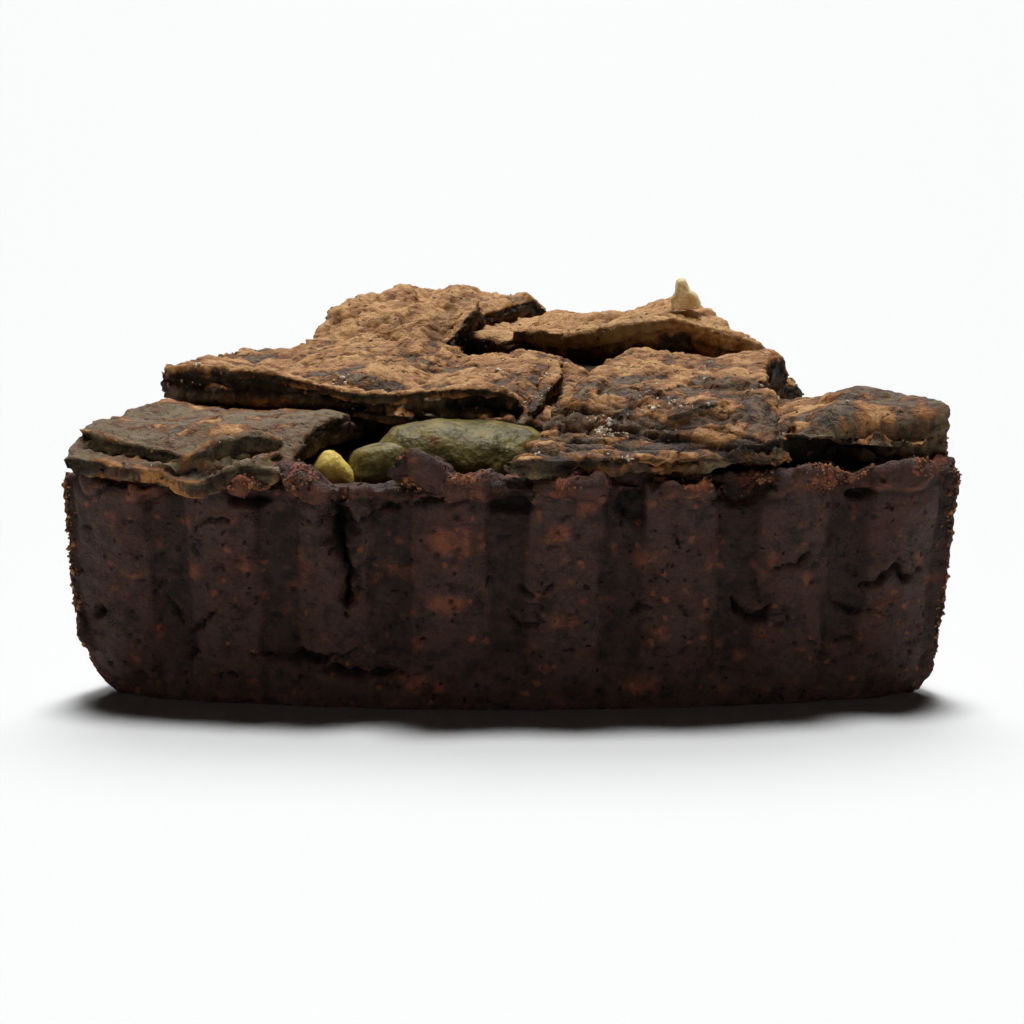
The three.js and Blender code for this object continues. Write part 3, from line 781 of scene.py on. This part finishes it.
# What the oven browned most: x, depth, half width and half depth.
LEFT_PATCHES = [
    (-33.4, 15.6, 1.6, 2.6), (-31.0, 11.6, 2.4, 2.4), (-27.8, 15.6, 1.8, 1.0), (-26.4, 27.0, 3.4, 2.6),
    (-42.6, 19.0, 0.9, 1.4), (-36.0, 26.0, 1.0, 1.0), (-39.4, 15.0, 0.5, 0.8), (-36.4, 12.0, 0.6, 0.7),
]


def shape_left():
    s = fine_skin("lattice_left", "strip_left", 0.32, 2, LEFT_FOLDS)
    s.torn = s.sides(0.35, 0.7)
    behind = step(s.depth, 18.0, 50.0)
    lip = fall(near_line(s, LEFT_FOLDS[2][0], LEFT_FOLDS[3][0]), 0.4, 0.85)
    lip = lip * step(s.x, -44.4, -43.2) * fall(s.x, -33.6, -32.4)
    work_dough(s, 300, s.torn * (1.0 - lip), 0.55 + 0.55 * behind, 0.3 + 0.7 * behind)
    s.push *= (1.0 - 0.8 * lip)[:, None]
    # no painted shade on the tan lip
    s.painted_shade *= 1.0 - lip
    s.relief += 0.9 * (1.0 - behind) * s.up
    for line, width, deep in LEFT_GAPES:
        s.groove(near_line(s, line), width, deep)
    plan = np.stack([s.back, s.across], axis=1)
    s.groove(from_line(plan, LEFT_FURROW)[0], 2.8, 1.3, 0.4)
    s.browned += s.up * (1.1 * behind - 0.25 * (1.0 - behind))
    s.browned += 0.75 * lip
    s.browned += 0.55 * fall(near_line(s, LEFT_FOLDS[0][0], LEFT_FOLDS[1][0]), 0.35, 0.8)
    brown_patches(s, s.up, LEFT_PATCHES)
    settle(s, s.across - LEFT_MIDDLE)
    s.rise -= 0.5 * step(s.depth, 55.0, 70.0) * s.over
    s.rise -= 1.2 * step(s.x, -6.0, -3.0) * step(s.depth, 70.0, 76.0) * s.over
    front_corner = bell(s.cut, 0.0, 3.6) * bell(s.depth, 11.5, 4.0) * step(s.upward, -0.3, 0.2)
    s.rise += 1.3 * front_corner
    s.aside -= 0.8 * front_corner
    # the saddle between the two lumps on the crossing, and the rise at the left corner
    s.rise -= 0.9 * bell(s.x, -10.0, 2.2) * step(s.depth, 74.0, 80.0) * s.over
    corner = step(s.depth, 12.0, 16.0) * fall(s.depth, 24.0, 32.0) * bell(s.cut, 0.0, 3.4)
    s.rise += 0.9 * corner * step(s.upward, -0.2, 0.3)
    s.aside -= 0.7 * corner
    finish_piece(s, 150000, TOP)
    return s


RIGHT_FOLDS = [
    # the left edge standing against the front strip
    ([(5.4, 36.0, 34.4), (4.4, 29.0, 33.4), (3.2, 23.0, 32.2), (2.0, 18.0, 31.0)], 1.3, 2.6, 70),
    # the lip along the front end
    ([(2.0, 1.4, 26.8), (5.0, 0.9, 27.4), (8.4, 0.6, 28.3), (12.0, 0.3, 28.5),
      (16.0, 0.3, 28.4)], 1.6, 0.9),
    ([(15.0, 0.3, 28.4), (20.3, 0.8, 28.5), (24.6, 1.4, 28.2), (28.0, 2.2, 28.0),
      (30.6, 3.2, 28.0)], 1.8, 0.9),
    # lumps and rolls on the top
    (on_top("strip_right", [(21.5, 17.0, 0.1), (25.0, 18.5, 0.3), (28.0, 20.0, 0.1)]), 6.0, 1.8),
    (on_top("strip_right", [(11.5, 9.0, 0.0), (14.5, 12.0, 0.2), (16.5, 16.0, 0.1)]), 2.6, 1.6),
    (on_top("strip_right", [(17.0, 7.4, 0.1), (20.0, 8.6, 0.2), (23.4, 9.4, 0.1)]), 2.2, 1.4),
    (on_top("strip_right", [(6.4, 9.0, 0.0), (8.4, 14.0, 0.2), (10.0, 20.0, 0.1)]), 2.4, 1.4),
]
# The gap between the lip and the rim below it, painted black as shade.
RIGHT_GAP = [(7.6, 0.4, 27.1), (12.0, 0.0, 27.3), (17.0, 0.0, 27.4), (23.0, 0.8, 27.1), (30.6, 2.8, 27.0)]
RIGHT_PATCHES = [
    (26.0, 22.0, 3.4, 5.0), (9.7, 12.6, 1.7, 2.0), (14.8, 10.2, 1.4, 1.5), (20.0, 10.5, 1.2, 1.6),
    (23.2, 8.2, 1.2, 1.3), (14.2, 5.3, 1.2, 0.9), (20.9, 5.4, 1.0, 0.8), (24.2, 5.4, 1.0, 0.8),
    (8.2, 34.0, 3.0, 3.0), (14.0, 27.0, 2.4, 4.0), (5.0, 7.0, 1.4, 2.0), (19.5, 24.0, 2.0, 3.0),
]


def shape_right():
    s = fine_skin("lattice_right", "strip_right", 0.3, 2, RIGHT_FOLDS)
    slope = s.up * fall(s.back, 11.0, 17.0)
    work_dough(s, 340, s.torn, 1.0 - 0.35 * slope)
    # wrinkles across the front slope, with painted shade in them
    wrinkled = np.stack([0.2 * s.across, s.back, 0.3 * s.z], axis=1)
    fold = lumps(wrinkled, 1.5, 381)
    wrinkle = fall(np.abs(fold), 0.0, 0.24) * slope
    s.along_normal(-0.55 * wrinkle + 0.35 * slope * fold)
    s.paint_shade(0.8 * wrinkle)
    s.relief += 0.5 * slope * fold
    s.groove(near_line(s, RIGHT_GAP), 1.5, 2.6)
    s.browned += s.up * (0.3 + 0.4 * step(s.depth, 14.0, 40.0)) - 0.1 * slope
    s.relief -= 0.5 * slope
    s.reddish += 0.4 * slope * step(lumps(s.co, 2.6, 385), -0.1, 0.4)
    brown_patches(s, s.up, RIGHT_PATCHES)
    s.browned += 0.25 * fall(near_line(s, RIGHT_FOLDS[1][0], RIGHT_FOLDS[2][0]), 0.3, 0.8)
    settle(s, s.across - RIGHT_MIDDLE)
    s.rise += 0.4 * fall(s.depth, 3.0, 6.0) * s.under
    s.rise += 1.0 * bell(s.x, 28.5, 4.5) * bell(s.depth, 37.0, 8.0)
    s.aside -= 1.1 * step(s.x, 28.0, 30.5) * step(s.z, 28.0, 30.0) * fall(s.z, 31.0, 34.5)
    s.rise += 0.6 * step(s.x, 27.0, 29.5) * step(s.z, 32.0, 34.0)
    finish_piece(s, 120000, TOP)
    return s


FRONT_FOLDS = [
    # the upper layer's lip, hanging over the window
    ([(-39.6, 34.2, 33.5), (-35.9, 32.6, 33.7), (-30.2, 30.9, 33.9), (-26.6, 29.4, 33.7),
      (-21.8, 26.4, 33.0)], 2.0, 1.3),
    ([(-22.6, 27.0, 33.1), (-18.9, 24.4, 32.5), (-15.6, 22.6, 32.2), (-12.7, 21.6, 32.4),
      (-9.0, 20.6, 33.0)], 2.2, 1.4),
    ([(-10.0, 21.0, 32.9), (-6.0, 19.8, 33.4), (-2.4, 19.6, 33.3), (0.4, 19.8, 32.6),
      (1.6, 19.4, 31.4)], 2.0, 1.2),
    # the lower layer
    ([(-20.0, 25.6, 30.7), (-15.6, 23.4, 30.2), (-12.0, 22.0, 30.1), (-8.0, 20.6, 30.2),
      (-3.6, 19.2, 30.2)], 1.8, 1.1),
    ([(-3.8, 19.0, 30.2), (-1.0, 18.2, 30.0), (1.4, 17.4, 29.8)], 2.0, 1.2),
    ([(-11.2, 21.0, 31.1), (-9.8, 20.6, 31.0)], 1.6, 1.4),
    # flakes under the left end
    ([(-35.4, 31.6, 31.6), (-33.6, 30.9, 31.9), (-32.2, 30.4, 31.8)], 1.6, 0.9),
    # the wavy front edge of the right end
    ([(30.2, 12.6, 30.6), (33.0, 11.6, 30.4), (35.8, 10.4, 29.4), (38.4, 10.0, 30.4)], 2.6, 1.5),
    ([(38.0, 10.2, 30.3), (40.8, 10.6, 30.3), (43.0, 11.2, 29.8), (45.4, 12.0, 30.0)], 2.4, 1.5),
    (on_top("strip_front", [(35.0, 23.0, 0.0), (39.0, 21.0, 0.2), (42.0, 19.4, 0.1)]), 6.0, 1.6),
]
# Slots between the two layers, and the cavity under the right end: line, width, depth and darkness of their
# painted shade.
FRONT_SLOTS = [
    ([(-22.0, 27.0, 31.6), (-16.0, 23.4, 31.2), (-9.0, 20.8, 31.6), (-4.0, 19.4, 32.0),
      (0.6, 18.6, 31.4)], 1.3, 1.6, 1.0),
    ([(-41.0, 34.6, 32.2), (-35.0, 32.4, 32.5), (-29.0, 30.4, 32.5), (-23.0, 27.6, 31.8)], 1.2, 1.0, 0.8),
    ([(30.0, 13.0, 28.6), (33.0, 12.0, 28.4), (36.4, 10.8, 27.9), (40.0, 10.6, 28.2)], 3.0, 3.0, 1.0),
    ([(29.6, 13.4, 30.0), (30.4, 12.8, 28.4), (31.4, 12.4, 27.0)], 2.2, 2.4, 1.0),
]
FRONT_PATCHES = [
    (39.8, 13.6, 2.4, 2.2), (34.0, 20.0, 3.0, 2.4), (40.0, 27.0, 3.4, 2.4), (31.4, 12.4, 1.6, 1.6),
    (-12.9, 31.6, 4.0, 4.0), (-7.0, 34.0, 3.0, 3.0), (-24.0, 40.0, 5.0, 4.0), (-34.0, 35.0, 4.0, 2.0),
]
# Where the front of the right end stands: x, and its depth there; and how round it is there.
BLOCK_FRONT = ([30.0, 35.6, 38.2, 41.2, 45.7], [10.6, 9.8, 10.6, 11.6, 13.2])
BLOCK_ROUND = 3.4


def shape_front():
    s = fine_skin("lattice_front", "strip_front", 0.3, 2, FRONT_FOLDS)
    block = step(s.across, 24.0, 28.0)
    work_dough(s, 380, s.torn * (1.0 - 0.6 * block), 0.9 - 0.35 * block, 1.0 - 0.5 * block)
    # the cavity under the right end, pressed in and painted black as shade
    cavity = step(s.x, 29.0, 30.5) * fall(s.x, 37.4, 39.4) * fall(s.depth, 14.0, 17.0)
    cavity *= fall(s.z + 0.5 * lumps(s.co, 2.0, 389), 29.5, 30.3)
    s.push[:, 1] += 1.6 * cavity
    s.paint_shade(0.95 * cavity)
    for line, width, deep, dark in FRONT_SLOTS:
        s.groove(near_line(s, line), width, deep, dark)
    hem = near_line(s, *[FRONT_FOLDS[i][0] for i in (0, 1, 2, 7, 8)])
    s.browned += (1.1 - 0.4 * block) * fall(hem, 0.5, 1.1)
    s.browned += s.up * (0.35 + 0.2 * step(s.depth, 20.0, 45.0)) * (1.0 - block)
    brown_patches(s, step(s.upward, -0.1, 0.3), FRONT_PATCHES)
    settle(s, s.back - FRONT_MIDDLE)
    s.aside -= 0.8 * fall(s.across, -46.5, -43.0)
    s.rise += 0.5 * fall(s.across, -44.0, -38.0) * s.up
    s.rise -= 1.3 * bell(s.x, -29.5, 7.0) * step(s.depth, 31.0, 37.0) * s.over
    s.aside += 0.6 * step(s.across, 35.0, 38.0)
    s.rise -= 1.0 * bell(s.x, 42.5, 6.0) * s.over
    # the right end rounds over towards its front
    behind = s.depth - np.interp(s.x, *BLOCK_FRONT)
    inward = np.clip(BLOCK_ROUND - behind, 0.0, BLOCK_ROUND)
    sunk = BLOCK_ROUND - np.sqrt(BLOCK_ROUND**2 - inward**2)
    rounded = sunk * np.clip((s.z - 28.6) / 4.6, 0.0, 1.0) ** 1.4
    s.rise -= rounded * step(s.x, 30.0, 33.0)
    finish_piece(s, 130000, TOP)
    return s


BACK_FOLDS = [
    # the lit front edge, arching over its shadow
    ([(0.4, 70.6, 34.0), (5.0, 68.6, 33.9), (8.6, 67.0, 33.8), (12.6, 65.2, 34.9),
      (16.0, 64.0, 35.9)], 2.6, 1.6),
    ([(15.0, 64.2, 35.8), (20.6, 62.4, 36.2), (25.0, 61.4, 35.7), (28.4, 60.6, 34.4),
      (30.4, 60.2, 33.0)], 2.6, 1.7),
    (on_top("strip_back", [(6.0, 80.0, 0.0), (10.0, 78.0, 0.2), (14.0, 76.0, 0.0)]), 4.0, 1.4),
]


def shape_back():
    s = fine_skin("lattice_back", "strip_back", 0.34, 2, BACK_FOLDS)
    work_dough(s, 420, 0.4 * s.torn, 0.95)
    s.browned += s.up + 1.6 * fall(near_line(s, BACK_FOLDS[0][0], BACK_FOLDS[1][0]), 1.2, 1.9)
    s.relief += 0.5
    settle(s, s.back - BACK_MIDDLE, 2.6)
    s.rise -= 0.8 * bell(s.x, 1.8, 4.0) * step(s.depth, 68.0, 76.0) * s.over
    s.rise -= 0.7 * bell(s.x, 25.5, 3.5) * s.over
    s.rise += 0.9 * bell(s.x, 5.6, 2.4) * step(s.depth, 70.0, 78.0) * s.over
    finish_piece(s, 75000, TOP)
    return s


# ---- the filling and the pears ----
def shape_filling():
    s = fine_skin("tart_filling", "filling", 0.6, 2)
    pore, size = grains(s.co, 1.7, 207)
    s.along_normal(0.2 * lumps(s.co, 4.0, 201) + 0.2 * layered(s.co, 1.5, 205) + 0.05)
    s.along_normal(-0.5 * fall(pore, 0.1, 0.3) * step(size, 0.5, 0.8))
    finish_piece(s, 90000, FILLING)


def shape_pear(node, material, seed):
    """A chunk of pear: soft facets left by the knife, dented and fibrous."""
    small = material is not PEAR
    s = fine_skin("cooked_" + node, node, 0.2 if small else 0.36, 3)
    from_middle = s.x - s.x.mean()
    s.along_normal(0.2 + 0.4 * lumps(s.co, 5.0, seed) + 0.09 * layered(s.co, 1.4, seed + 3))
    facet = 1.0 - 2.2 * np.abs(lumps(s.co, 4.5, seed + 7))
    s.along_normal((0.1 if small else 0.14) * facet)
    high = step(s.z, s.z.min(), s.z.max())
    if node == "pear_window":
        s.aside += 0.22 * from_middle - 2.2
        s.rise += 1.7 * step(s.z, 23.0, 28.0)
        s.browned += fall(np.hypot(s.x + 5.6, s.z - 27.0) + 0.2 * lumps(s.co, 0.8, 99), 0.25, 0.6)
    if node == "pear_window_side":
        s.aside += 0.6 * from_middle + 0.9 - 0.8 * high
        s.rise += np.minimum(0.0, 27.6 - s.z) * 0.8 + 0.25 * from_middle
    if node == "pear_nugget":
        s.aside += (1.2 - 1.4 * high) * from_middle + 0.2 - 0.5 * high
        s.rise += 0.7 * high
    if node == "pear_behind":
        s.rise -= 2.2
    if node == "pear_stalk_end":
        s.aside -= 0.15 * from_middle
        s.rise -= 0.7 * high
    finish_piece(s, 12000, material)


# ---- loose crumbs ----
def scatter(name, places, sizes, seed, material):
    """Joins many small crumbs into one piece. Each place: a skin, where they lie on it, how many."""
    rng = np.random.default_rng(seed)
    bm = bmesh.new()
    bmesh.ops.create_icosphere(bm, subdivisions=2, radius=0.5)
    ball = np.array([v.co for v in bm.verts])
    faces = np.array([[v.index for v in f.verts] for f in bm.faces])
    bm.free()
    points, normals = [], []
    for skin, weight, count in places:
        chosen = rng.choice(len(weight), size=count, p=weight / weight.sum())
        points.append((skin.co + skin.push)[chosen])
        normals.append(skin.normal[chosen])
    points = np.concatenate(points)
    normals = np.concatenate(normals)
    count = len(points)
    size = sizes[0] * (sizes[1] / sizes[0]) ** (rng.random(count) ** 2.2)
    shape = ball[None] * (1.0 + 0.28 * rng.standard_normal((count, len(ball), 1)))
    shape *= rng.uniform(0.6, 1.25, (count, 1, 3))
    spin = np.linalg.qr(rng.standard_normal((count, 3, 3)))[0]
    shape = np.einsum("nij,nvj->nvi", spin, shape) * size[:, None, None]
    shape += (points + normals * size[:, None] * 0.12)[:, None]
    verts = shape.reshape(-1, 3) * MM
    all_faces = (faces[None] + np.arange(count)[:, None, None] * len(ball)).reshape(-1, 3)
    mesh = bpy.data.meshes.new(name)
    mesh.from_pydata(verts.tolist(), [], all_faces.tolist())
    piece = place(name, mesh)
    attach(piece, "root")
    dress(piece, material)


crust = shape_crust()
left = shape_left()
right = shape_right()
across_front = shape_front()
across_back = shape_back()
shape_filling()
flesh = {"pear_nugget": RIPE, "pear_stalk_end": DRIED}
for number, node in enumerate(sorted(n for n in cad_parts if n.startswith("pear_"))):
    shape_pear(node, flesh.get(node, PEAR), 600 + 10 * number)

# Sizes in mm, from the smallest to the largest.
CRUMB_SIZES = (0.16, 0.55)
SPECK_SIZES = (0.12, 0.5)
crumby = [(crust, crust.torn**1.5 + 1e-9, 1100)]
for skin, count in ((left, 240), (right, 120), (across_front, 200), (across_back, 90)):
    crumby.append((skin, skin.torn * (skin.upward > -0.3) + 1e-9, count))
scatter("loose_crumbs", crumby, CRUMB_SIZES, 11, CRUMB)


def floury(skin, spots):
    """How much flour and sugar lies on each point, given spots as (x, depth, spread, amount)."""
    up = step(skin.upward, -0.1, 0.4)
    dusted = sum(a * bell(skin.x, x, spread) * bell(skin.depth, d, spread) for x, d, spread, a in spots)
    return up * (0.004 + dusted) * step(lumps(skin.co, 1.2, 77), -0.2, 0.4)


# Where the flour and sugar gathered: x, depth, spread and amount.
RIGHT_SPOTS = [
    (10.2, 7.8, 1.5, 1.0), (10.4, 0.4, 0.9, 1.2), (2.7, 1.2, 0.7, 0.9), (3.4, 22.0, 1.3, 0.9),
    (16.8, 11.5, 3.0, 0.25), (4.2, 28.0, 1.4, 0.6), (26.3, 14.7, 0.7, 0.7), (12.6, 0.4, 1.0, 0.4),
]
FRONT_SPOTS = [
    (-19.0, 26.6, 0.9, 1.0), (2.6, 20.9, 1.0, 0.9), (-1.5, 31.0, 3.0, 0.2), (-36.0, 31.2, 1.4, 0.5),
]

scatter(
    "flour_specks",
    [
        (left, floury(left, [(-40.0, 18.0, 4.0, 0.05)]), 40),
        (right, floury(right, RIGHT_SPOTS), 300),
        (across_front, floury(across_front, FRONT_SPOTS), 140),
        (across_back, floury(across_back, [(12.0, 66.0, 2.0, 0.4)]), 20),
    ],
    SPECK_SIZES, 23, FLOUR,
)


# ---- the table, the light and the camera ----
# Two lit panels, as (tilt back from straight above, reach around that, strength). The strengths
# are set so that the table looks white, and the tilts and reaches so that its shadow fades alike.
CEILING_PANEL = (15.0, 8.0, 40.6)
REAR_PANEL = (43.0, 17.0, 5.1)
PANEL_FADE = 3.0
# A low bright strip in front of the slice lights the rim. Its top is the sine of its tilt upwards.
STRIP_TOP = 0.05
STRIP_LIGHT = 3.2
ROOM_LIGHT = 0.003
TABLE_REACH = 6.0
# The camera: its place, how many degrees it looks down, and its lens in mm.
CAMERA_PLACE = (0.0, -0.5042, 0.094)
CAMERA_DOWN = 9.2
CAMERA_LENS = 145.5


def white_table():
    mesh = bpy.data.meshes.new("white_table")
    corners = [(TABLE_REACH * x, TABLE_REACH * y, 0.0) for x, y in ((-1, -1), (1, -1), (1, 1), (-1, 1))]
    mesh.from_pydata(corners, [], [(0, 1, 2, 3)])
    laminate = bpy.data.materials.new("white_laminate")
    add = adder(laminate)
    inputs = {"Base Color": linear("#eaebec"), "Roughness": 0.6, "Specular IOR Level": 0.2}
    add("OutputMaterial", {"Surface": add("BsdfPrincipled", inputs)})
    mesh.materials.append(laminate)
    place("white_table", mesh)


def white_room():
    """A dark room with a lit ceiling panel, a larger dim one behind, and a low bright strip in front."""
    scene.world = bpy.data.worlds.new("white_room")
    add = adder(scene.world)
    way = add("TexCoord", out="Generated")
    lights = []
    for tilt, reach, strength in (CEILING_PANEL, REAR_PANEL):
        middle = (0.0, math.sin(math.radians(tilt)), math.cos(math.radians(tilt)))
        edge = [math.cos(math.radians(reach + fade)) for fade in (PANEL_FADE, -PANEL_FADE)]
        towards = add("VectorMath", [way, middle], **WEIGHED)
        lights.append(add("MapRange", [towards, *edge, 0.0, strength], **SOFT))
    ahead = add("MapRange", [add("SeparateXYZ", [way], "Y"), -0.5, -0.8, 0.0, STRIP_LIGHT], **SOFT)
    low = add("MapRange", [add("SeparateXYZ", [way], "Z"), STRIP_TOP + 0.03, STRIP_TOP], **SOFT)
    lights.append(add("Math", [ahead, low], **TIMES))
    sum_of = add("VectorMath", [add("CombineXYZ", lights), (1.0, 1.0, 1.0)], **WEIGHED)
    light = add("Math", [sum_of, ROOM_LIGHT])
    add("OutputWorld", {"Surface": add("Background", {"Color": linear("#fdfdfc"), "Strength": light})})


def photo_camera():
    camera = bpy.data.cameras.new("camera")
    camera.sensor_width = 36.0
    camera.lens = CAMERA_LENS
    camera.clip_start = 0.01
    camera.clip_end = 20.0
    holder = place("camera", camera)
    holder.location = CAMERA_PLACE
    holder.rotation_euler = Euler((math.radians(90.0 - CAMERA_DOWN), 0.0, 0.0))
    scene.camera = holder


white_table()
white_room()
photo_camera()
scene.view_settings.view_transform = "Standard"
